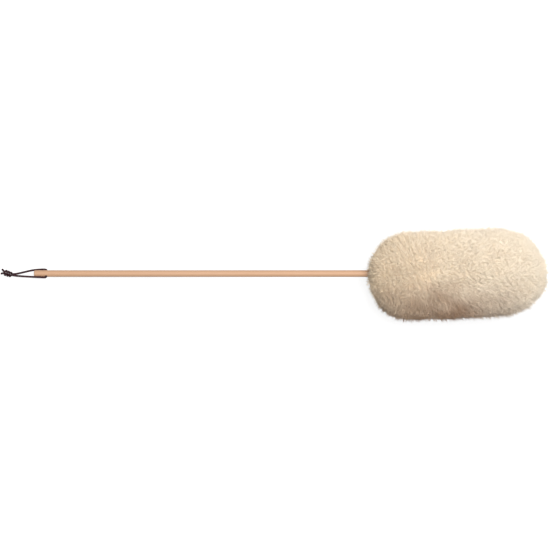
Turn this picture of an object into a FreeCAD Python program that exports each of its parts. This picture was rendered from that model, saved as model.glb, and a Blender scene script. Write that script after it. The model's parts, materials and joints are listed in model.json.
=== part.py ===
"""Lambswool duster with a wooden handle and a knotted leather hanging lace, lying on a floor.

The handle runs along +X and rises towards the wool head. The floor is z = 0 and the origin is on it,
below the middle of the object's box. Lengths are in millimetres, angles in degrees.
"""

import FreeCAD
import Part
import Sketcher
import math
import os
import re

V = FreeCAD.Vector

# ---------------------------------------------------------------- driving dimensions

SIZES = [
    ("handle_length", 703, "rod, from butt to the end inside the wool"),
    ("handle_diameter", 10, "rod"),
    ("butt_round", 1.2, "edge round at the butt"),
    ("hole_from_butt", 18, "butt to the middle of the lace hole"),
    ("hole_diameter", 4, "lace hole"),
    ("hole_countersink", 0.8, "softened mouths of the lace hole"),
    ("hole_roll", 30, "how far the hole is rolled about the rod, out of level"),
    ("head_diameter", 131, "wool head at its fattest"),
    ("neck_dome_length", 62, "rounded end of the wool towards the hand"),
    ("head_straight_length", 123, "even part of the wool between its rounded ends"),
    ("tip_dome_length", 77, "rounded far end of the wool"),
    ("tip_overhang", 57, "wool past the end of the rod"),
    ("rest_dent", 9, "how deep the pile is pressed in where the head rests"),
    ("neck_overhang", 42, "pile leaning towards the hand past the sheepskin"),
    ("hide_thickness", 2, "leather side of the sheepskin"),
    ("strip_pitch", 27, "advance of the wound strip in one turn"),
    ("seam_gap", 0.5, "open seam between neighbouring turns"),
    ("seam_lead", 20.75, "start of the seam's helix before the strip"),
    ("skirt_length", 15, "part of the tip patch folded along the rod"),
    ("patch_round", 1.5, "edge round of the tip patch over the rod's end"),
    ("pile_spread", 45, "slope of the border between the strip's pile and the patch's"),
    ("staple_crown", 8, "staple, across its legs"),
    ("staple_leg", 6, "staple, from crown to points"),
    ("staple_wire_height", 0.6, "flat staple wire, the way it is driven"),
    ("staple_wire_width", 1.2, "flat staple wire, across the crown"),
    ("staple_corner", 0.4, "outer bend of a staple"),
    ("staple_sink", 0.2, "crown pressed into the hide"),
    ("staple_from_edge", 6, "middle of a crown to the edge of the strip that it holds"),
    ("skirt_staple_place", 7.5, "middle of a crown to the edge of the patch's skirt"),
    ("lace_diameter", 3, "round leather lace"),
    ("knot_diameter", 9, "knot of the two lace ends"),
    ("knot_length", 11, "knot, along the lace"),
    ("knot_round", 1, "edge round of the knot"),
    ("tail_length", 4, "lace ends past the knot"),
    ("tail_spread", 3.2, "between the middles of the two lace ends"),
]

# Two places nearer than this are the same place.
SAME_PLACE = 1e-6

doc = FreeCAD.newDocument("Duster")
sheet = doc.addObject("Spreadsheet::Sheet", "Sizes")
for row, (alias, number, note) in enumerate(SIZES, 1):
    sheet.set(f"A{row}", note)
    sheet.set(f"B{row}", str(number))
    sheet.setAlias(f"B{row}", alias)
doc.recompute()


def on_sheet(expression):
    """The expression with each of the sheet's names written in full."""
    names = {alias for alias, _, _ in SIZES}
    return re.sub("[a-z_]+", lambda word: "Sizes." * (word[0] in names) + word[0], expression)


def size(expression):
    """Value of an expression on the sheet's names."""
    return float(sheet.evalExpression(on_sheet(expression)))


# Places along the rod, from the butt.
ROD_RADIUS = "handle_diameter / 2"
HIDE_RADIUS = "handle_diameter / 2 + hide_thickness"
HEAD_RADIUS = "head_diameter / 2"
HEAD_TIP = "handle_length + tip_overhang"
TIP_DOME_BASE = "handle_length + tip_overhang - tip_dome_length"
NECK_DOME_BASE = "handle_length + tip_overhang - tip_dome_length - head_straight_length"
STRIP_START = (
    "handle_length + tip_overhang - tip_dome_length - head_straight_length"
    " - neck_dome_length + neck_overhang"
)
STRIP_END = "handle_length - skirt_length"

# ---------------------------------------------------------------- how the duster lies

# The butt's rounded edge and the flattened underside of the wool both touch the floor,
# which tilts the rod.
_reach = size(NECK_DOME_BASE) - size("butt_round")
_drop = size(HEAD_RADIUS) - size("rest_dent") - size(ROD_RADIUS) + size("butt_round")
TILT = math.atan2(_drop, _reach) - math.asin(size("butt_round") / math.hypot(_reach, _drop))
RISE = (
    size("butt_round") * (1 - math.sin(TILT))
    + (size(ROD_RADIUS) - size("butt_round")) * math.cos(TILT)
)
_tip_x = size(TIP_DOME_BASE) * math.cos(TILT) + math.hypot(
    size("tip_dome_length") * math.cos(TILT), size(HEAD_RADIUS) * math.sin(TILT)
)
_butt_x = (
    size("butt_round") * (math.cos(TILT) - 1)
    - (size(ROD_RADIUS) - size("butt_round")) * math.sin(TILT)
)
LYING = FreeCAD.Placement(
    V(-(_tip_x + _butt_x) / 2, 0, RISE), FreeCAD.Rotation(V(0, 1, 0), -math.degrees(TILT))
)
ALONG_ROD = FreeCAD.Rotation(V(0, 1, 0), 90)


def lay(thing, x="0", turn=FreeCAD.Rotation(), z="0"):
    """Places a piece that was drawn level at its spot on the lying rod."""
    spot = FreeCAD.Placement(V(size(x), 0, size(z)), turn)
    thing.Placement = LYING.multiply(spot)
    return thing


# ---------------------------------------------------------------- drawing helpers


def bind(thing, **expressions):
    """Ties properties to the sheet."""
    for name, expression in expressions.items():
        thing.setExpression(name, on_sheet(expression))
    return thing


def new_body(name):
    return doc.addObject("PartDesign::Body", name)


def sketch_on(body, role, name, x="0", roll="0"):
    """Sketch on one of the body's own planes, moved along X and rolled about it."""
    plane = next(item for item in body.Origin.OriginFeatures if item.Role == role)
    sketch = body.newObject("Sketcher::SketchObject", name)
    sketch.AttachmentSupport = (plane, "")
    sketch.MapMode = "FlatFace"
    shift = V(0, 0, size(x)) if role == "YZ_Plane" else V(size(x), 0, 0)
    sketch.AttachmentOffset = FreeCAD.Placement(shift, FreeCAD.Rotation(V(1, 0, 0), size(roll)))
    axis = "z" if role == "YZ_Plane" else "x"
    sketch.setExpression(f"AttachmentOffset.Base.{axis}", on_sheet(x))
    return sketch


def fix(sketch, kind, first, across, expression):
    """Ties one coordinate of a line's start, or holds it on the sketch's axis where it is zero."""
    if size(expression) == 0:
        sketch.addConstraint(Sketcher.Constraint("PointOnObject", first, 1, across))
        return
    number = sketch.addConstraint(Sketcher.Constraint(kind, -1, 1, first, 1, size(expression)))
    sketch.setExpression(f"Constraints[{number}]", on_sheet(expression))


def outline(sketch, corners):
    """Closed outline of straight edges through corners given as pairs of expressions."""
    spots = [V(size(x), size(y), 0) for x, y in corners]
    count = len(corners)
    for start in range(count):
        sketch.addGeometry(Part.LineSegment(spots[start], spots[(start + 1) % count]))
    for start, (x, y) in enumerate(corners):
        sketch.addConstraint(Sketcher.Constraint("Coincident", start, 2, (start + 1) % count, 1))
        fix(sketch, "DistanceX", start, -2, x)
        fix(sketch, "DistanceY", start, -1, y)
    return sketch


def circle(sketch, radius):
    """Circle about the sketch's origin."""
    ring = sketch.addGeometry(Part.Circle(V(0, 0, 0), V(0, 0, 1), size(radius)))
    sketch.addConstraint(Sketcher.Constraint("Coincident", ring, 3, -1, 1))
    number = sketch.addConstraint(Sketcher.Constraint("Radius", ring, size(radius)))
    sketch.setExpression(f"Constraints[{number}]", on_sheet(radius))
    return sketch


def pad(body, sketch, length, both_ways=False):
    feature = body.newObject("PartDesign::Pad", sketch.Name + "Pad")
    feature.Profile = sketch
    feature.SideType = "Symmetric" if both_ways else "One side"
    bind(feature, Length=length)
    sketch.Visibility = False
    return feature


def round_edges(body, feature, radius, chosen):
    """Rounds the edges of the feature that the test picks."""
    doc.recompute()
    names = [f"Edge{n}" for n, edge in enumerate(feature.Shape.Edges, 1) if chosen(edge)]
    rounded = body.newObject("PartDesign::Fillet", feature.Name + "Round")
    rounded.Base = (feature, names)
    bind(rounded, Radius=radius)
    return rounded


def rim_at(x):
    """Test for a round edge that lies in the plane at x."""

    def chosen(edge):
        level = abs(edge.BoundBox.XMin - size(x)) < SAME_PLACE and edge.BoundBox.XLength < SAME_PLACE
        return level and edge.BoundBox.YLength > 0

    return chosen


def boolean(kind, name, base, tool):
    """Part boolean of two objects, both already in their places."""
    result = doc.addObject(kind, name)
    result.Base = base
    result.Tool = tool
    return result


def together(name, things):
    """One tool made of several pieces."""
    result = doc.addObject("Part::MultiFuse", name)
    result.Shapes = things
    return result


# ---------------------------------------------------------------- handle

# A wooden dowel, rounded at the butt, with a countersunk cross hole for the lace.
rod = new_body("Rod")
pad_of_rod = pad(rod, circle(sketch_on(rod, "YZ_Plane", "RodSection"), ROD_RADIUS), "handle_length")
round_edges(rod, pad_of_rod, "butt_round", rim_at("0"))
bit = outline(
    sketch_on(rod, "XY_Plane", "HoleSection", "hole_from_butt", "0 - hole_roll"),
    [
        ("0", "0 - handle_diameter / 2 - hole_countersink"),
        ("hole_diameter / 2 + 2 * hole_countersink", "0 - handle_diameter / 2 - hole_countersink"),
        ("hole_diameter / 2", "hole_countersink - handle_diameter / 2"),
        ("hole_diameter / 2", "handle_diameter / 2 - hole_countersink"),
        ("hole_diameter / 2 + 2 * hole_countersink", "handle_diameter / 2 + hole_countersink"),
        ("0", "handle_diameter / 2 + hole_countersink"),
    ],
)
lace_hole = rod.newObject("PartDesign::Groove", "LaceHole")
lace_hole.Profile = bit
lace_hole.ReferenceAxis = (bit, ["V_Axis"])
lace_hole.Angle = 360
lay(rod)

# ---------------------------------------------------------------- staples


def staple(name, x, below):
    """Flat-wire staple with chisel points, its crown along the rod, driven from above or below."""
    body = new_body(name)
    half = "staple_crown / 2"
    inside = "staple_crown / 2 - staple_wire_height"
    top = "hide_thickness + handle_diameter / 2 + staple_wire_height - staple_sink"
    under = "hide_thickness + handle_diameter / 2 - staple_sink"
    point = top + " - staple_leg"
    shoulder = point + " + staple_wire_height"
    wire = outline(
        sketch_on(body, "XZ_Plane", name + "Wire"),
        [
            ("0 - " + half, top),
            (half, top),
            (half, shoulder),
            (inside, point),
            (inside, under),
            ("staple_wire_height - " + half, under),
            ("staple_wire_height - " + half, point),
            ("0 - " + half, shoulder),
        ],
    )
    crown = pad(body, wire, "staple_wire_width", both_ways=True)
    corner = size(half) - SAME_PLACE

    def outer_bend(edge):
        box = edge.BoundBox
        upright = box.XLength < SAME_PLACE and abs(box.XMin) > corner
        return upright and box.ZMin > size(top) - SAME_PLACE

    round_edges(body, crown, "staple_corner", outer_bend)
    return lay(body, x, FreeCAD.Rotation(V(1, 0, 0), 180 if below else 0))


STAPLE_PLACES = {
    "neck_staple": STRIP_START + " + staple_from_edge",
    "end_staple": STRIP_END + " - staple_from_edge",
    "tip_staple": STRIP_END + " + skirt_staple_place",
}
staples = {
    f"{place}_{side}": staple(f"{place}_{side}", x, side == "lower")
    for place, x in STAPLE_PLACES.items()
    for side in ("upper", "lower")
}
strip_staples = [item for name, item in staples.items() if not name.startswith("tip")]
tip_staples = [item for name, item in staples.items() if name.startswith("tip")]

# ---------------------------------------------------------------- sheepskin, leather side

# The strip is wound on the rod edge to edge, so it is a sleeve with a helical seam,
# trimmed square at its ends.
STRIP_LENGTH = f"{STRIP_END} - ({STRIP_START})"
sleeve = new_body("Sleeve")
sleeve_section = circle(sketch_on(sleeve, "YZ_Plane", "SleeveSection", STRIP_START), ROD_RADIUS)
pad(sleeve, circle(sleeve_section, HIDE_RADIUS), STRIP_LENGTH)
lay(sleeve)
seam = new_body("Seam")
seam_section = outline(
    sketch_on(seam, "XY_Plane", "SeamSection", f"{STRIP_START} - seam_lead"),
    [
        ("0", f"{ROD_RADIUS} - seam_gap"),
        ("seam_gap", f"{ROD_RADIUS} - seam_gap"),
        ("seam_gap", f"{HIDE_RADIUS} + seam_gap"),
        ("0", f"{HIDE_RADIUS} + seam_gap"),
    ],
)
winding = seam.newObject("PartDesign::AdditiveHelix", "Winding")
winding.Profile = seam_section
winding.ReferenceAxis = (seam_section, ["H_Axis"])
winding.Mode = "pitch-height-angle"
bind(winding, Pitch="strip_pitch", Height=f"{STRIP_LENGTH} + seam_lead + strip_pitch")
lay(seam)

# The patch is a round of sheepskin folded over the end of the rod as a cap.
patch = new_body("Patch")
patch_section = outline(
    sketch_on(patch, "XY_Plane", "PatchSection"),
    [
        (STRIP_END, ROD_RADIUS),
        (STRIP_END, HIDE_RADIUS),
        ("handle_length + hide_thickness", HIDE_RADIUS),
        ("handle_length + hide_thickness", "0"),
        ("handle_length", "0"),
        ("handle_length", ROD_RADIUS),
    ],
)
cap = patch.newObject("PartDesign::Revolution", "Cap")
cap.Profile = patch_section
cap.ReferenceAxis = (patch_section, ["H_Axis"])
cap.Angle = 360
round_edges(patch, cap, "patch_round", rim_at("handle_length + hide_thickness"))
lay(patch)

# ---------------------------------------------------------------- sheepskin, wool pile

# The pile's outer shape is a straight drum between two domes, pressed flat where it rests
# on the floor.
neck_dome = bind(
    doc.addObject("Part::Ellipsoid", "NeckDome"), Radius1="neck_dome_length", Radius2=HEAD_RADIUS
)
neck_dome.Angle1 = -90
neck_dome.Angle2 = 0
neck_dome.Radius3 = 0
lay(neck_dome, NECK_DOME_BASE, ALONG_ROD)
drum = bind(
    doc.addObject("Part::Cylinder", "Drum"), Radius=HEAD_RADIUS, Height="head_straight_length"
)
lay(drum, NECK_DOME_BASE, ALONG_ROD)
tip_dome = bind(
    doc.addObject("Part::Ellipsoid", "TipDome"), Radius1="tip_dome_length", Radius2=HEAD_RADIUS
)
tip_dome.Angle1 = 0
tip_dome.Angle2 = 90
tip_dome.Radius3 = 0
lay(tip_dome, TIP_DOME_BASE, ALONG_ROD)
floor = bind(
    doc.addObject("Part::Box", "Floor"),
    Length=HEAD_TIP,
    Width="head_diameter",
    Height="head_diameter",
)
floor.Placement.Base = V(LYING.Base.x, -size(HEAD_RADIUS), -size("head_diameter"))
wool = boolean("Part::Cut", "Wool", together("WoolBlank", [neck_dome, drum, tip_dome]), floor)

# The border between the strip's pile and the patch's is a cone that opens from the edge of the patch.
border = bind(
    doc.addObject("Part::Cone", "Border"),
    Radius1=HIDE_RADIUS,
    Height="skirt_length + tip_overhang",
    Radius2=f"{HIDE_RADIUS} + (skirt_length + tip_overhang) * tan(pile_spread * 1deg)",
)
lay(border, STRIP_END, ALONG_ROD)
wound = bind(
    doc.addObject("Part::Cylinder", "Wound"),
    Radius=HIDE_RADIUS,
    Height=STRIP_LENGTH,
)
lay(wound, STRIP_START, ALONG_ROD)
core = together("Core", [rod, wound, patch, *staples.values()])
strip_pile = boolean("Part::Cut", "StripPile", wool, border)
patch_pile = boolean("Part::Common", "PatchPile", wool, border)

# ---------------------------------------------------------------- finished pieces of the duster

every_staple = together("EveryStaple", list(staples.values()))
stapled_strip = boolean("Part::Cut", "StapledStrip", sleeve, together("StripStaples", strip_staples))
pieces = {
    "handle_rod": boolean("Part::Cut", "HandleRod", rod, every_staple),
    "hide_strip": boolean("Part::Cut", "HideStrip", stapled_strip, seam),
    "tip_patch": boolean("Part::Cut", "TipPatch", patch, together("TipStaples", tip_staples)),
    "strip_fleece": boolean("Part::Cut", "StripFleece", strip_pile, core),
    "tip_fleece": boolean("Part::Cut", "TipFleece", patch_pile, core),
    **staples,
}

# ---------------------------------------------------------------- hanging lace

# Route of the lace from one knotted end through the rod to the other: x from the middle of
# its hole, y across, z above the floor. It lies beside the butt and comes down to the knot,
# which rests on the floor.
LACE_ROUTE = [
    (-52.5, -2.0, 5.85),
    (-46.5, -3.2, 5.85),
    (-37.5, -3.9, 6.5),
    (-27.5, -4.6, 7.6),
    (-17.0, -5.6, 8.9),
    (-7.5, -6.0, 9.7),
    (-0.32, -5.98, 9.97),
    (0.32, 5.98, 3.09),
    (-7.5, 6.6, 2.6),
    (-18.5, 6.6, 2.3),
    (-27.5, 3.8, 2.4),
    (-36.5, 0.7, 2.8),
    (-46.1, -1.2, 3.15),
    (-52.1, 0.0, 3.15),
]
ARC_SHARE = 0.45

hole_middle = LYING.multVec(V(size("hole_from_butt"), 0, 0))
route = [V(hole_middle.x + x, y, z) for x, y, z in LACE_ROUTE]


def rounded_path(points):
    """Straight runs joined by tangent arcs, each as large as its two runs allow, and the arcs' radii."""
    edges = []
    radii = []
    start = points[0]
    for before, corner, after in zip(points, points[1:], points[2:]):
        back = before - corner
        ahead = after - corner
        half_turn = (math.pi - back.getAngle(ahead)) / 2
        cut = ARC_SHARE * min(back.Length, ahead.Length)
        radius = cut / math.tan(half_turn)
        back.normalize()
        ahead.normalize()
        first = corner + back * cut
        last = corner + ahead * cut
        inward = back + ahead
        inward.normalize()
        middle = corner + inward * (radius / math.cos(half_turn) - radius)
        edges.append(Part.LineSegment(start, first).toShape())
        edges.append(Part.Arc(first, middle, last).toShape())
        radii.append(radius)
        start = last
    edges.append(Part.LineSegment(start, points[-1]).toShape())
    return Part.Wire(edges), radii


def solid_piece(label, shape, placement=FreeCAD.Placement()):
    """Sub-part whose shape is worked out in code."""
    piece = doc.addObject("Part::Feature", label)
    piece.Shape = shape
    piece.Placement = placement
    pieces[label] = piece
    return piece


lace_radius = size("lace_diameter") / 2
lace_path, lace_radii = rounded_path(route)
lace_start = route[1] - route[0]
section = Part.Wire(Part.makeCircle(lace_radius, route[0], lace_start))
lace = solid_piece("lace_loop", lace_path.makePipeShell([section], True, True))

# The knot is a rounded barrel that both legs enter side by side, square to its face.
knot_face = (route[0] + route[-1]) * 0.5
along_lace = (route[0] - route[1]).normalize()
knot_radius = size("knot_diameter") / 2
barrel = Part.makeCylinder(knot_radius, size("knot_length"))
rims = [edge for edge in barrel.Edges if edge.Closed]
barrel = barrel.makeFillet(size("knot_round"), rims)
knot_turn = FreeCAD.Rotation(V(0, 0, 1), along_lace)
solid_piece("lace_knot", barrel, FreeCAD.Placement(V(knot_face.x, knot_face.y, knot_radius), knot_turn))

# The two ends of the lace stick out of the far side of the knot.
tail_face = V(knot_face.x, knot_face.y, knot_radius) + along_lace * size("knot_length")
across_lace = V(0, 0, 1).cross(along_lace)
for label, side in (("lace_tail_left", -1), ("lace_tail_right", 1)):
    tail = Part.makeCylinder(lace_radius, size("tail_length"))
    spot = tail_face + across_lace * (side * size("tail_spread") / 2)
    solid_piece(label, tail, FreeCAD.Placement(spot, knot_turn))

# ---------------------------------------------------------------- checks and files

for label, piece in pieces.items():
    piece.Label = label
doc.recompute()

for thing in doc.Objects:
    if "Invalid" in thing.State or "Error" in thing.State:
        raise RuntimeError(f"{thing.Label} did not compute: {thing.State}")
for label, piece in pieces.items():
    if piece.Shape.isNull() or not piece.Shape.isValid() or len(piece.Shape.Solids) != 1:
        raise RuntimeError(f"{label} is not one valid solid")

ideal = math.pi * lace_radius**2 * lace_path.Length
print("lace arcs:", ", ".join(f"{radius:.1f}" for radius in lace_radii))
print(f"lace length {lace_path.Length:.1f}, volume {lace.Shape.Volume:.1f} of {ideal:.1f}")
print(f"tilt {math.degrees(TILT):.4f} degrees, rod from {tuple(round(c, 4) for c in LYING.Base)}")
print(f"hole at {tuple(round(c, 4) for c in hole_middle)}")

os.makedirs("parts", exist_ok=True)
for label, piece in pieces.items():
    piece.Shape.exportStep(f"parts/{label}.step")
    print(f"{label:20} {piece.Shape.Volume:12.1f} mm3")
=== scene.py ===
"""A lambswool duster lying on a pale floor, seen from straight above."""

import json
import math

import bmesh
import bpy
import numpy as np
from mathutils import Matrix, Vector, kdtree, noise


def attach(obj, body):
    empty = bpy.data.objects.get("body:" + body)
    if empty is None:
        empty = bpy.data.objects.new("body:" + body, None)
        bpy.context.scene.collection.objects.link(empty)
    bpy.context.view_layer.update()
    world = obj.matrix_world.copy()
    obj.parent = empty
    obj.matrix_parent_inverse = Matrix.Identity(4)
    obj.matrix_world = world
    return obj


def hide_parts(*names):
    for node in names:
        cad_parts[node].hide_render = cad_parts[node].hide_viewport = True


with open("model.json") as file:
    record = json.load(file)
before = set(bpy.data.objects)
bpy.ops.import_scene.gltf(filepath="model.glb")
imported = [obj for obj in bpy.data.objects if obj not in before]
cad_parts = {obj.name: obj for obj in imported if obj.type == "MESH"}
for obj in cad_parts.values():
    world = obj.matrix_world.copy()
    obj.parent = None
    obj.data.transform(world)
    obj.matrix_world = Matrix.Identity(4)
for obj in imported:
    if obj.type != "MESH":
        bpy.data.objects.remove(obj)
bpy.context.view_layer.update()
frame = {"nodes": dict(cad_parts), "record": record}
stage = bpy.context.scene

# ---------------------------------------------------------------- camera
# A long lens high over the middle of the duster, looking straight down, with the
# lace to the left and the wool to the right.

SENSOR_WIDTH = 36
CAMERA_HEIGHT = 5.0
VIEW_WIDTH = 0.8125
VIEW_CENTRE = Vector((-0.0203, -0.0021, 0.04))
lens = bpy.data.cameras.new("camera")
lens.sensor_width = SENSOR_WIDTH
lens.lens = SENSOR_WIDTH * CAMERA_HEIGHT / VIEW_WIDTH
lens.clip_end = 3 * CAMERA_HEIGHT
camera = bpy.data.objects.new("camera", lens)
camera.location = VIEW_CENTRE + Vector((0, 0, CAMERA_HEIGHT))
stage.collection.objects.link(camera)
stage.camera = camera

# ---------------------------------------------------------------- hanging lace
# One round burgundy leather lace goes through the hole in the butt, and its two ends
# are knotted together. It is made in two halves that meet in the middle of the hole.

MM = 0.001
LACE_WIDTH = 3.0 * MM
STRAIGHT_IN_HOLE = 3.0
hinge = frame["record"]["behaviour"]["joints"][0]
hole = Vector(hinge["pos_m"])
through = Vector(hinge["axis"])

# Millimetres, as in part.py: x from the middle of the hole, y across, z above the floor.
NEAR_LEG = [
    (-0.3, -5.9, 9.9),
    (-5.5, -5.6, 10.4),
    (-17.0, -5.1, 9.6),
    (-27.5, -4.5, 7.9),
    (-37.5, -3.9, 6.5),
    (-46.5, -3.2, 5.85),
    (-52.5, -2.0, 5.85),
]
FAR_LEG = [
    (0.3, 6.0, 3.1),
    (-5.5, 6.3, 2.3),
    (-18.5, 5.5, 1.7),
    (-27.5, 3.5, 2.0),
    (-36.5, 1.4, 2.7),
    (-46.1, -0.7, 3.15),
    (-51.8, -0.6, 3.15),
]
# In the knot each half is wound round the other, and its end sticks out past it.
NEAR_KNOT = [
    (-54.2, -4.4, 5.7),
    (-55.1, -3.5, 2.3),
    (-55.1, 0.8, 1.5),
    (-55.7, 3.6, 4.9),
    (-57.7, 1.7, 8.3),
    (-60.4, -2.0, 7.5),
    (-62.0, -2.5, 3.7),
    (-62.2, 1.0, 1.7),
    (-62.9, 3.4, 3.5),
    (-64.4, 4.7, 4.9),
    (-65.7, 6.6, 4.3),
]
FAR_KNOT = [
    (-52.0, 1.6, 4.1),
    (-53.4, 1.4, 7.5),
    (-56.0, -2.0, 8.3),
    (-58.1, -4.0, 4.9),
    (-58.7, -1.2, 1.5),
    (-58.6, 3.4, 2.3),
    (-59.6, 4.7, 6.1),
    (-61.9, 2.0, 8.1),
    (-63.9, 0.4, 6.3),
    (-65.6, 0.4, 4.9),
    (-67.4, -0.1, 4.1),
]


def half_lace(name, mouth_side, route):
    """Half of the lace: from the middle of the hole, out of one mouth, to its tail."""
    in_hole = [hole, hole + through * mouth_side * STRAIGHT_IN_HOLE * MM]
    points = in_hole + [Vector((hole.x + x * MM, y * MM, z * MM)) for x, y, z in route]
    line = bpy.data.curves.new(name, "CURVE")
    line.dimensions = "3D"
    line.bevel_depth = LACE_WIDTH / 2
    line.bevel_resolution = 5
    line.use_fill_caps = True
    line.resolution_u = 12
    spline = line.splines.new("NURBS")
    spline.points.add(len(points) - 1)
    for spot, point in zip(spline.points, points):
        spot.co = (*point, 1)
    spline.order_u = 3
    spline.use_endpoint_u = True
    piece = bpy.data.objects.new(name, line)
    stage.collection.objects.link(piece)
    return piece, points[1]


class Socket:
    """A value inside a material, which Python's own operators add maths to."""

    def __init__(self, finish, output):
        self.finish = finish
        self.output = output

    def maths(self, operation, other, swapped=False):
        """Adds a Math node that works on this value and another."""
        pair = (other, self) if swapped else (self, other)
        return self.finish.node("ShaderNodeMath", {"operation": operation}, {0: pair[0], 1: pair[1]})

    def __add__(self, other):
        return self.maths("ADD", other)

    def __radd__(self, other):
        return self.maths("ADD", other, swapped=True)

    def __sub__(self, other):
        return self.maths("SUBTRACT", other)

    def __rsub__(self, other):
        return self.maths("SUBTRACT", other, swapped=True)

    def __mul__(self, other):
        return self.maths("MULTIPLY", other)

    def __rmul__(self, other):
        return self.maths("MULTIPLY", other, swapped=True)


class Finish:
    """One material, with a Principled surface that the nodes below are led to."""

    def __init__(self, name, **constants):
        self.material = bpy.data.materials.new(name)
        self.material.use_nodes = True
        self.nodes = self.material.node_tree.nodes
        self.surface = self.nodes["Principled BSDF"]
        for socket, value in constants.items():
            self.surface.inputs[socket.replace("_", " ")].default_value = value

    def node(self, kind, settings=None, inputs=None, output=0):
        """Adds a node: its settings first, then a value or a link for each socket named."""
        made = self.nodes.new(kind)
        for key, value in (settings or {}).items():
            if key == "stops":
                self.set_stops(made.color_ramp, value)
            else:
                setattr(made, key, value)
        for socket, value in (inputs or {}).items():
            self.feed(made.inputs[socket], value)
        return Socket(self, made.outputs[output])

    def set_stops(self, ramp, stops):
        """Gives a colour ramp its stops, each a place and a colour."""
        while len(ramp.elements) < len(stops):
            ramp.elements.new(1)
        for element, (place, colour) in zip(ramp.elements, stops):
            element.position = place
            element.color = (*colour, 1)

    def feed(self, socket, value):
        """Links a value to a socket, or sets the socket where the value is plain."""
        if isinstance(value, Socket):
            self.material.node_tree.links.new(value.output, socket)
        elif isinstance(value, tuple) and len(value) == 3 and socket.type == "RGBA":
            socket.default_value = (*value, 1)
        else:
            socket.default_value = value

    def show(self, **inputs):
        """Leads values to the surface's own sockets."""
        for socket, value in inputs.items():
            self.feed(self.surface.inputs[socket.replace("_", " ")], value)

    def place(self, turn=(0, 0, 0), centre=(0, 0, 0), stretch=(1, 1, 1)):
        """Object coordinates, centred and turned on a piece, then stretched along its own axes."""
        spot = self.node("ShaderNodeTexCoord", output="Object")
        moved = self.node(
            "ShaderNodeMapping", {"vector_type": "TEXTURE"}, {0: spot, 1: centre, 2: turn}
        )
        return self.node("ShaderNodeMapping", {}, {0: moved, 3: stretch})

    def blend(self, amount, first, second, way="MIX"):
        """Mixes two colours, or multiplies the first by the second."""
        settings = {"data_type": "RGBA", "blend_type": way}
        return self.node("ShaderNodeMix", settings, {0: amount, 6: first, 7: second}, output=2)

    def speckle(self, where, scale, detail=2.0, roughness=0.5):
        """Soft noise from 0 to 1."""
        inputs = {"Vector": where, "Scale": scale, "Detail": detail, "Roughness": roughness}
        return self.node("ShaderNodeTexNoise", {}, inputs)

    def bumps(self, height, strength, distance):
        """Leads a height to the surface as bumps."""
        inputs = {"Height": height, "Strength": strength, "Distance": distance}
        self.show(Normal=self.node("ShaderNodeBump", {}, inputs))


DARK_LEATHER = (0.006, 0.001, 0.0015)
WORN_LEATHER = (0.036, 0.004, 0.008)
leather = Finish("lace leather", Specular_IOR_Level=0.2)
creases = leather.speckle(leather.place(), 900, 4, 0.6)
wear = leather.speckle(leather.place(), 160, 3, 0.55)
leather.show(
    Base_Color=leather.blend(wear, DARK_LEATHER, WORN_LEATHER),
    Roughness=0.36 + 0.25 * creases,
)
leather.bumps(creases, 0.35, 0.0004)

near_half, near_mouth = half_lace("lace_near_half", 1, NEAR_LEG + NEAR_KNOT)
far_half, far_mouth = half_lace("lace_far_half", -1, FAR_LEG + FAR_KNOT)
for half in (near_half, far_half):
    half.data.materials.append(leather.material)
    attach(half, "hanging_lace")
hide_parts("lace_loop", "lace_knot", "lace_tail_left")
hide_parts("lace_tail_right")


def line_length(piece):
    """Length of a lace's own centreline."""
    bare = piece.data.copy()
    bare.bevel_depth = 0
    carrier = bpy.data.objects.new("bare", bare)
    drawn = bpy.data.meshes.new_from_object(carrier)
    spots = [corner.co for corner in drawn.vertices]
    bpy.data.objects.remove(carrier)
    return sum((b - a).length for a, b in zip(spots, spots[1:]))


for half, mouth in ((near_half, near_mouth), (far_half, far_mouth)):
    line_length(half)

# ---------------------------------------------------------------- handle
# One turned wooden dowel of pale close-grained wood, sanded and left with a thin
# clear finish. The lace hole near its butt is countersunk.

CLIP_FROM_BUTT = 0.26
mounts = {mount["name"]: mount for mount in frame["record"]["mounts"]}
along = Vector(mounts["handle_clip"]["axis"]).normalized()
butt = Vector(mounts["handle_clip"]["pos_m"]) - along * CLIP_FROM_BUTT
tilt = math.atan2(along.z, along.x)

TAN_WOOD = (0.38, 0.212, 0.113)
PALE_WOOD = (0.50, 0.295, 0.172)
BAND_WOOD = (0.52, 0.315, 0.198)
OPEN_PORE = (0.72, 0.62, 0.55)
NO_PORE = (1, 1, 1)

wood = Finish("ramin wood", Roughness=0.5, Coat_Weight=0.08, Coat_Roughness=0.4)


def along_rod(finer):
    """Places on the rod for a pattern that is so many times finer across it than along it."""
    return wood.place((0, -tilt, 0), tuple(butt), (1, finer, finer))


grain = wood.speckle(along_rod(28), 60, 5, 0.62)
fibres = wood.speckle(along_rod(60), 95, 4, 0.7)
bands = wood.speckle(along_rod(3), 7, 2, 0.5)
tan = wood.blend(grain, TAN_WOOD, PALE_WOOD)
tan = wood.blend(bands * 0.5, tan, BAND_WOOD)
pore_stops = {"stops": [(0.30, OPEN_PORE), (0.45, NO_PORE)]}
pores = wood.node("ShaderNodeValToRGB", pore_stops, {0: fibres})
wood.show(Base_Color=wood.blend(0.55, tan, pores, "MULTIPLY"), Roughness=0.42 + 0.2 * fibres)
wood.bumps(fibres, 0.25, 0.0002)


def refinish(node, material):
    """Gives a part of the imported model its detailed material."""
    part = frame["nodes"][node]
    part.data.materials.clear()
    part.data.materials.append(material)


refinish("handle_rod", wood.material)

# ---------------------------------------------------------------- hide strip and tip patch
# The wool is still on its skin: a strip of tanned sheep hide is wound round the rod in
# a spiral, suede side in, and a round patch of the same hide closes the rod's end.

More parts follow.
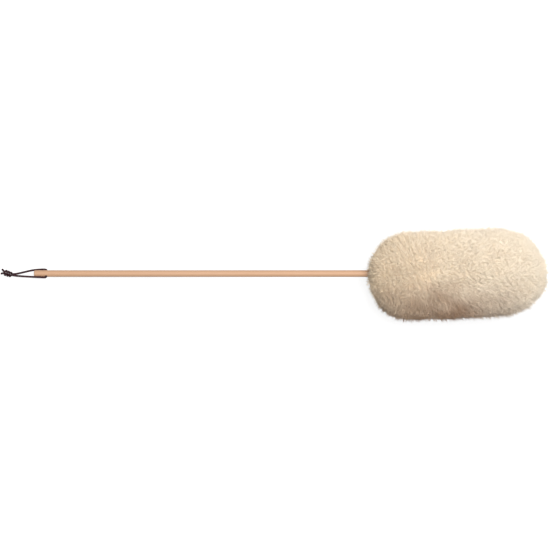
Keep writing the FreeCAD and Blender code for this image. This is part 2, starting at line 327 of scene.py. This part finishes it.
SUEDE = (0.70, 0.56, 0.40)
PALE_SUEDE = (0.80, 0.69, 0.53)
RUBBED_SUEDE = (0.50, 0.38, 0.26)
hide = Finish("tanned hide", Roughness=0.85, Sheen_Weight=0.3, Sheen_Roughness=0.5)
nap = hide.speckle(hide.place(), 700, 5, 0.65)
stain = hide.speckle(hide.place(), 60, 3, 0.5)
suede = hide.blend(stain, SUEDE, PALE_SUEDE)
suede = hide.blend(nap * 0.35, suede, RUBBED_SUEDE)
hide.show(Base_Color=suede, Roughness=0.75 + 0.2 * nap)
hide.bumps(nap, 0.5, 0.0004)
refinish("hide_strip", hide.material)
refinish("tip_patch", hide.material)

# ---------------------------------------------------------------- staples
# Six small galvanised wire staples: two at the strip's neck edge, two at its end and
# two through the patch's skirt. Their legs are driven into the rod.

DULL_ZINC = (0.50, 0.50, 0.49)
BRIGHT_ZINC = (0.68, 0.68, 0.67)
zinc = Finish("galvanised wire", Metallic=1.0, Roughness=0.35)
spangle = zinc.speckle(zinc.place(), 1200, 3, 0.6)
zinc_colour = zinc.blend(spangle, DULL_ZINC, BRIGHT_ZINC)
zinc.show(Base_Color=zinc_colour, Roughness=0.25 + 0.3 * spangle)
zinc.bumps(spangle, 0.2, 0.0001)
for place in ("neck", "end", "tip"):
    for side in ("upper", "lower"):
        refinish(f"{place}_staple_{side}", zinc.material)

# ---------------------------------------------------------------- wool core
# The lower part of the pile, where the fibres are matted together: a thick springy
# body with the hide and rod in its bore, pressed flat where it lies on the floor.

# Places along the rod, from the butt.
HEAD_START = 0.498
NECK_END = 0.560
DRUM_END = 0.683
HEAD_END = 0.760
HEAD_RADIUS = 0.0645
END_ROUNDNESS = 2.1
SWAY_PLACES = [0.498, 0.56, 0.62, 0.68, 0.74, 0.76]
SWAYS = [-0.0045, -0.0035, -0.0025, 0.0012, 0.001, -0.002]
FLOOR_GAP = 0.0005
CORE_DEPTH = 0.0078
CORE_RINGS = 56
CORE_STEPS = 96

# The bore is wide where the hide is and narrow on the bare rod at the neck.
HIDE_BORE = 0.0074
ROD_BORE = 0.0054
BORE_MOUTH = 0.5385
BORE_END = 0.7065

lift = Vector((-math.sin(tilt), 0, math.cos(tilt)))
across = Vector((0, 1, 0))


def form_radius(station):
    """Radius of the wool's outside at a distance from the butt."""
    neck = np.clip((NECK_END - station) / (NECK_END - HEAD_START), 0, 1)
    tip = np.clip((station - DRUM_END) / (HEAD_END - DRUM_END), 0, 1)
    return HEAD_RADIUS * np.sqrt(np.clip(1 - neck**END_ROUNDNESS - tip**END_ROUNDNESS, 0, 1))


def form_sway(station):
    """How far the wool's middle lies to one side of the rod."""
    return np.interp(station, SWAY_PLACES, SWAYS)


# Half of the outline: along the bore from its closed end, out at the neck and over to the tip.
stations = np.linspace(HEAD_START + CORE_DEPTH, HEAD_END - CORE_DEPTH, CORE_RINGS)
share = (stations - stations[0]) / (stations[-1] - stations[0])
outline = [
    (BORE_END, 0.0),
    (BORE_END, HIDE_BORE),
    (BORE_MOUTH, HIDE_BORE),
    (BORE_MOUTH, ROD_BORE),
    (stations[0], ROD_BORE),
]
for station, part in zip(stations, share):
    outside = HEAD_START + part * (HEAD_END - HEAD_START)
    radius = float(form_radius(outside)) * (1 - CORE_DEPTH / HEAD_RADIUS)
    if radius > ROD_BORE + 0.0002 or part > 0.5:
        outline.append((float(station), radius))
outline[-1] = (outline[-1][0], 0.0)

core = bmesh.new()
ring = [core.verts.new(butt + along * s + across * r) for s, r in outline]
edges = [core.edges.new(pair) for pair in zip(ring, ring[1:])]
bmesh.ops.spin(
    core,
    geom=ring + edges,
    cent=butt,
    axis=along,
    angle=math.tau,
    steps=CORE_STEPS,
    use_merge=True,
)
bmesh.ops.remove_doubles(core, verts=core.verts[:], dist=0.00002)
bmesh.ops.recalc_face_normals(core, faces=core.faces[:])
core.normal_update()

# Its outside is lumpy, leans as the head does and stays off the floor. The bore stays true.
INSIDE_BORE = 0.012
PAST_BORE = 0.72
CORE_LIFT = 0.002
for corner in core.verts:
    station = (corner.co - butt).dot(along)
    spoke = corner.co - butt - along * station
    if spoke.length > INSIDE_BORE or station > PAST_BORE:
        clump = noise.noise(corner.co * 90) * 0.0022 + noise.noise(corner.co * 260) * 0.0012
        corner.co += corner.normal * clump + across * float(form_sway(station))
        corner.co.z = max(corner.co.z, FLOOR_GAP + CORE_LIFT)
core_mesh = bpy.data.meshes.new("wool_core")
core.to_mesh(core_mesh)
core.free()
core_mesh.shade_smooth()

# The wool's colour follows two values that every point of the pile has: its reach, from
# 0 at a lock's root to 1 at its end, and its tone, which differs from lock to lock.
# The core lies deep in the pile, so it takes most of the darker root colour, which is partly painted
# shade.
CORE_VALUE = 0.25
for key in ("reach", "tone"):
    middling = core_mesh.attributes.new(key, "FLOAT", "POINT")
    middling.data.foreach_set("value", np.full(len(core_mesh.vertices), CORE_VALUE))

# Cream wool, paler towards the tip as painted light from that end, and browner along its lower side
# as painted shade away from the key light.
NECK_CREAM = (0.885, 0.715, 0.49)
TIP_CREAM = (0.965, 0.885, 0.745)
PATCH_CREAM = (0.84, 0.65, 0.43)
PALE_LOCK = (0.97, 0.905, 0.775)
ROOT_CREAM_AND_SHADE = (0.80, 0.59, 0.37)
PAINTED_SHADE_BROWN = (0.37, 0.21, 0.115)
WOOL_NEAR_END = 0.12
WOOL_LENGTH = 0.26
DARKEST_SHADE_AT = 0.1
wool = Finish(
    "lambswool",
    Sheen_Weight=0.3,
    Sheen_Roughness=0.5,
    Specular_IOR_Level=0.25,
)
reach = wool.node("ShaderNodeAttribute", {"attribute_name": "reach"}, output=2)
tone = wool.node("ShaderNodeAttribute", {"attribute_name": "tone"}, output=2)
patches = wool.speckle(wool.place(), 22, 3, 0.55)
crimp = wool.speckle(wool.place(), 800, 3, 0.6)
where = wool.place(centre=(WOOL_NEAR_END, 0, 0))
along_head = wool.node("ShaderNodeSeparateXYZ", {}, {0: where})
to_side = wool.node("ShaderNodeSeparateXYZ", {}, {0: where}, output=1)
gentle = {"interpolation_type": "SMOOTHSTEP"}
# Painted light: the wool is made paler towards the tip end, as if lit from there.
painted_light_range = {"Value": along_head + 0.12 * patches, "From Min": 0.0, "From Max": WOOL_LENGTH}
painted_tip_light = wool.node("ShaderNodeMapRange", gentle, painted_light_range)
# Painted shade: the side away from the key light is blended towards brown.
painted_shade_range = {"Value": to_side + 0.08 * patches, "From Min": 0.045, "From Max": -0.045}
painted_side_shade = wool.node("ShaderNodeMapRange", gentle, painted_shade_range)
# The painted shade is deepest a little way into the head and fades towards both ends.
from_darkest_shade = 9 * (along_head - DARKEST_SHADE_AT)
painted_side_shade = painted_side_shade * (1 - 0.6 * (from_darkest_shade * from_darkest_shade))
cream = wool.blend(painted_tip_light, NECK_CREAM, TIP_CREAM)
cream = wool.blend(patches * 0.4, cream, PATCH_CREAM)
cream = wool.blend(tone * 0.3, cream, PALE_LOCK)
# Darker and warmer towards each lock's root: partly the wool's own tone, partly painted shade deep
# in the pile.
cream = wool.blend((1 - reach) * 0.3, cream, ROOT_CREAM_AND_SHADE)
cream = wool.blend(painted_side_shade, cream, PAINTED_SHADE_BROWN)
wool.show(Base_Color=cream, Roughness=0.82 + 0.15 * crimp)
wool.bumps(crimp, 0.1, 0.0003)


def put(name, mesh, material, body):
    """Shows a finished mesh as a piece of the duster."""
    piece = bpy.data.objects.new(name, mesh)
    stage.collection.objects.link(piece)
    mesh.materials.clear()
    mesh.materials.append(material)
    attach(piece, body)
    return piece


wool_core = put("wool_core", core_mesh, wool.material, "duster")
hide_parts("strip_fleece", "tip_fleece")

# ---------------------------------------------------------------- wool locks
# The pile's outer ends: tens of thousands of fine crimped locks that fan out from the
# hide, lean with their neighbours and gather in small clumps. They go from neck to tip
# in one group for each turn of the strip, and the last group grows from the patch.

LOCKS = 10800
GROUPS = [f"wool_turn_{turn}" for turn in range(1, 7)] + ["wool_patch"]
LOCK_POINTS = 5
total = LOCKS * len(GROUPS)
chance = np.random.default_rng(7)
# Without a seed of its own the smooth noise would differ from run to run.
noise.seed_set(19)

# Even cover: equal shares of the outside, stepped round by the golden angle.
GOLDEN_ANGLE = math.pi * (3 - math.sqrt(5))
fine = np.linspace(HEAD_START, HEAD_END, 2000)
girth = form_radius(fine)
skin = np.hypot(np.diff(fine), np.diff(girth)) * math.tau * (girth[1:] + girth[:-1]) / 2
covered = np.concatenate([[0], np.cumsum(skin)]) / skin.sum()
order = (np.arange(total) + chance.random(total)) / total
station = np.interp(order, covered, fine)
turned = (np.arange(total) * GOLDEN_ANGLE + chance.normal(0, 0.02, total)) % math.tau

AX = np.array(along)
UP = np.array(lift)
OUT = np.array(across)
START = np.array(butt)


def noisy(spots, scale, seed):
    """Smooth noise vectors at many points."""
    far_off = Vector((seed, -seed, 2 * seed))
    return np.array([noise.noise_vector(Vector(spot) * scale + far_off) for spot in spots])


# The locks fan out from the stretch of hide, so those at the two ends lean outwards.
FIRST_ROOT = 0.548
LAST_ROOT = 0.702
HIDE_RADIUS = 0.006
LUMP_HEIGHT = 0.0026
SMALL_HEIGHT = 0.0005
TUFT_HEIGHT = 0.0012
radius = form_radius(station)
spoke = np.cos(turned)[:, None] * OUT + np.sin(turned)[:, None] * UP
tips = START + station[:, None] * AX + radius[:, None] * spoke
root_station = np.interp(station, [HEAD_START, HEAD_END], [FIRST_ROOT, LAST_ROOT])
fan = tips - (START + root_station[:, None] * AX + HIDE_RADIUS * spoke)
fan /= np.linalg.norm(fan, axis=1)[:, None]
flow = noisy(tips, 32, 11)
small = noisy(tips, 150, 23)
lump = noisy(tips, 45, 37)[:, 0]
tuft = noisy(tips, 420, 5)[:, 0] + chance.normal(0, 0.4, total)
uneven = lump * LUMP_HEIGHT + small[:, 0] * SMALL_HEIGHT + tuft * TUFT_HEIGHT
tips += fan * uneven[:, None]
tips += form_sway(station)[:, None] * OUT

# Neighbours share a lean, and on the long sides every lock is swept towards the tip.
LOCK_LENGTH = 0.017
LEAN = 0.28
SMALL_LEAN = 0.08
SWEEP_PLACES = [HEAD_START, NECK_END, 0.65, HEAD_END]
SWEEPS = [0.0, 0.45, 0.75, 0.5]
lean = flow - (flow * fan).sum(1)[:, None] * fan
length = LOCK_LENGTH * (1 + 0.25 * chance.normal(0, 1, total).clip(-2, 2))
bend = LEAN * lean + SMALL_LEAN * (small - (small * fan).sum(1)[:, None] * fan)
swept = np.interp(station, SWEEP_PLACES, SWEEPS)
bend += AX * (swept * (1 - np.abs(fan @ AX)))[:, None]
roots = tips - fan * length[:, None] - bend * length[:, None] * 0.9
side = np.cross(fan, AX)
side /= np.linalg.norm(side, axis=1)[:, None] + 1e-9

# Each end hooks its own way, and the locks of a clump draw together at their ends.
HOOK_LEAST = 0.0005
HOOK_MOST = 0.0034
LOCKS_IN_CLUMP = 27
GATHER = 0.24
curl = chance.random(total) * math.tau
hook = np.cos(curl)[:, None] * side + np.sin(curl)[:, None] * np.cross(fan, side)
hook *= chance.uniform(HOOK_LEAST, HOOK_MOST, total)[:, None]
clumps = kdtree.KDTree(total // LOCKS_IN_CLUMP)
for number, spot in enumerate(tips[::LOCKS_IN_CLUMP]):
    clumps.insert(spot, number)
clumps.balance()
gather = GATHER * (np.array([clumps.find(spot)[0] for spot in tips]) - tips)

# Each lock's points, from its root to its end.
BOW = 0.22
CRIMP = 0.0007
CRIMP_TURN = 8
rise = np.linspace(0, 1, LOCK_POINTS)
strands = np.empty((total, LOCK_POINTS, 3))
for step, part in enumerate(rise):
    straight = roots + (tips - roots) * part
    bow = fan * (length * BOW * math.sin(math.pi * part))[:, None]
    crimped = side * (CRIMP * np.sin(curl + CRIMP_TURN * part) * part)[:, None]
    curled = hook * part**3 + gather * part**2
    strands[:, step] = straight + bow + crimped + curled

# A few loose hairs stand proud of the rest.
STRAY_SHARE = 0.12
PROUD_LEAST = 0.002
PROUD_MOST = 0.0065
stray = chance.random(total) < STRAY_SHARE
proud = chance.uniform(PROUD_LEAST, PROUD_MOST, stray.sum())
for step, part in enumerate(rise):
    strands[stray, step] += fan[stray] * (proud * part**2)[:, None]

# What would reach through the floor is pressed into a thin layer on it.
LAYER = 0.003
low = strands[:, :, 2] < FLOOR_GAP + LAYER
settle = FLOOR_GAP + LAYER * np.exp((strands[:, :, 2] - FLOOR_GAP - LAYER) / LAYER)
strands[:, :, 2] = np.where(low, settle, strands[:, :, 2])

LOCK_THICKNESS = 0.00037
STRAY_THICKER = 1.2
TAPER = np.array([0, 1, 1, 0.62, 0])
thick = LOCK_THICKNESS * (1 + 0.3 * chance.normal(0, 1, total).clip(-2, 2))
thick[stray] *= STRAY_THICKER
lock_tone = chance.random(total)

# A lock is so fine that a three-sided section looks round.
SIDES = 3
section = bpy.data.curves.new("lock_section", "CURVE")
section.dimensions = "2D"
triangle = section.splines.new("POLY")
triangle.points.add(SIDES - 1)
for number, spot in enumerate(triangle.points):
    angle = number * math.tau / SIDES
    spot.co = (math.cos(angle), math.sin(angle), 0, 1)
triangle.use_cyclic_u = True
three_sided = bpy.data.objects.new("lock_section", section)
stage.collection.objects.link(three_sided)


def lock_group(name, chosen):
    """One group of locks, each a thin curve made solid and drawn to a point at both ends."""
    line = bpy.data.curves.new(name, "CURVE")
    line.dimensions = "3D"
    line.bevel_mode = "OBJECT"
    line.bevel_object = three_sided
    for i in chosen:
        spline = line.splines.new("POLY")
        spline.points.add(LOCK_POINTS - 1)
        spots = np.column_stack([strands[i], np.ones(LOCK_POINTS)])
        spline.points.foreach_set("co", spots.ravel())
        spline.points.foreach_set("radius", thick[i] * TAPER)
    carrier = bpy.data.objects.new(name, line)
    stage.collection.objects.link(carrier)
    solid = carrier.evaluated_get(bpy.context.evaluated_depsgraph_get())
    mesh = bpy.data.meshes.new_from_object(solid)
    bpy.data.objects.remove(carrier)
    bpy.data.curves.remove(line)
    mesh.name = name
    reaches = np.tile(np.repeat(rise, SIDES), len(chosen))
    tones = np.repeat(lock_tone[chosen], SIDES * LOCK_POINTS)
    for key, values in (("reach", reaches), ("tone", tones)):
        mesh.attributes.new(key, "FLOAT", "POINT").data.foreach_set("value", values)
    form = bmesh.new()
    form.from_mesh(mesh)
    bmesh.ops.remove_doubles(form, verts=form.verts[:], dist=0.000001)
    form.to_mesh(mesh)
    form.free()
    mesh.shade_smooth()
    return mesh


for number, name in enumerate(GROUPS):
    chosen = np.arange(number * LOCKS, (number + 1) * LOCKS)
    group = put(name, lock_group(name, chosen), wool.material, "duster")
    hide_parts("tip_fleece" if name == "wool_patch" else "strip_fleece")
bpy.data.objects.remove(three_sided)

# ---------------------------------------------------------------- floor and light
# A plain white sheet underneath and a white tent all round, one big soft light high on
# the far side, and a weak glow from everywhere.

FLOOR_HALF_WIDTH = 6
TENT_RADIUS = 9
PAPER_GLOW = 0.82
DULL_PAPER = (0.20, 0.20, 0.20)
CLEAN_PAPER = (0.23, 0.23, 0.23)
paper = Finish(
    "white paper",
    Roughness=0.9,
    Emission_Color=(1, 1, 1, 1),
    Emission_Strength=PAPER_GLOW,
)
tooth = paper.speckle(paper.place(), 300, 2, 0.5)
paper.show(Base_Color=paper.blend(tooth, DULL_PAPER, CLEAN_PAPER))


def backdrop(name, form):
    """Shows a shape in white paper, whose glow the duster's matt surfaces don't take up."""
    mesh = bpy.data.meshes.new(name)
    form.to_mesh(mesh)
    form.free()
    mesh.shade_smooth()
    mesh.materials.append(paper.material)
    shown = bpy.data.objects.new(name, mesh)
    shown.visible_diffuse = False
    stage.collection.objects.link(shown)
    return shown


sheet_form = bmesh.new()
bmesh.ops.create_grid(sheet_form, x_segments=1, y_segments=1, size=FLOOR_HALF_WIDTH)
floor = backdrop("floor", sheet_form)
tent_form = bmesh.new()
bmesh.ops.create_icosphere(tent_form, subdivisions=5, radius=TENT_RADIUS)
tent = backdrop("tent", tent_form)
tent.visible_shadow = False

KEY_PLACE = Vector((0.8, 0.6, 3.1))
KEY_WIDTH = 2.0
KEY_POWER = 150
lamp = bpy.data.lights.new("key", "AREA")
lamp.shape = "SQUARE"
lamp.size = KEY_WIDTH
lamp.energy = KEY_POWER
key_light = bpy.data.objects.new("key", lamp)
key_light.location = KEY_PLACE
key_light.rotation_euler = (-KEY_PLACE).to_track_quat("-Z", "Y").to_euler()
stage.collection.objects.link(key_light)

STUDIO_GLOW = 0.4
stage.world = bpy.data.worlds.new("studio")
stage.world.use_nodes = True
glow = stage.world.node_tree.nodes["Background"]
glow.inputs["Color"].default_value = (1, 1, 1, 1)
glow.inputs["Strength"].default_value = STUDIO_GLOW
stage.view_settings.view_transform = "Standard"
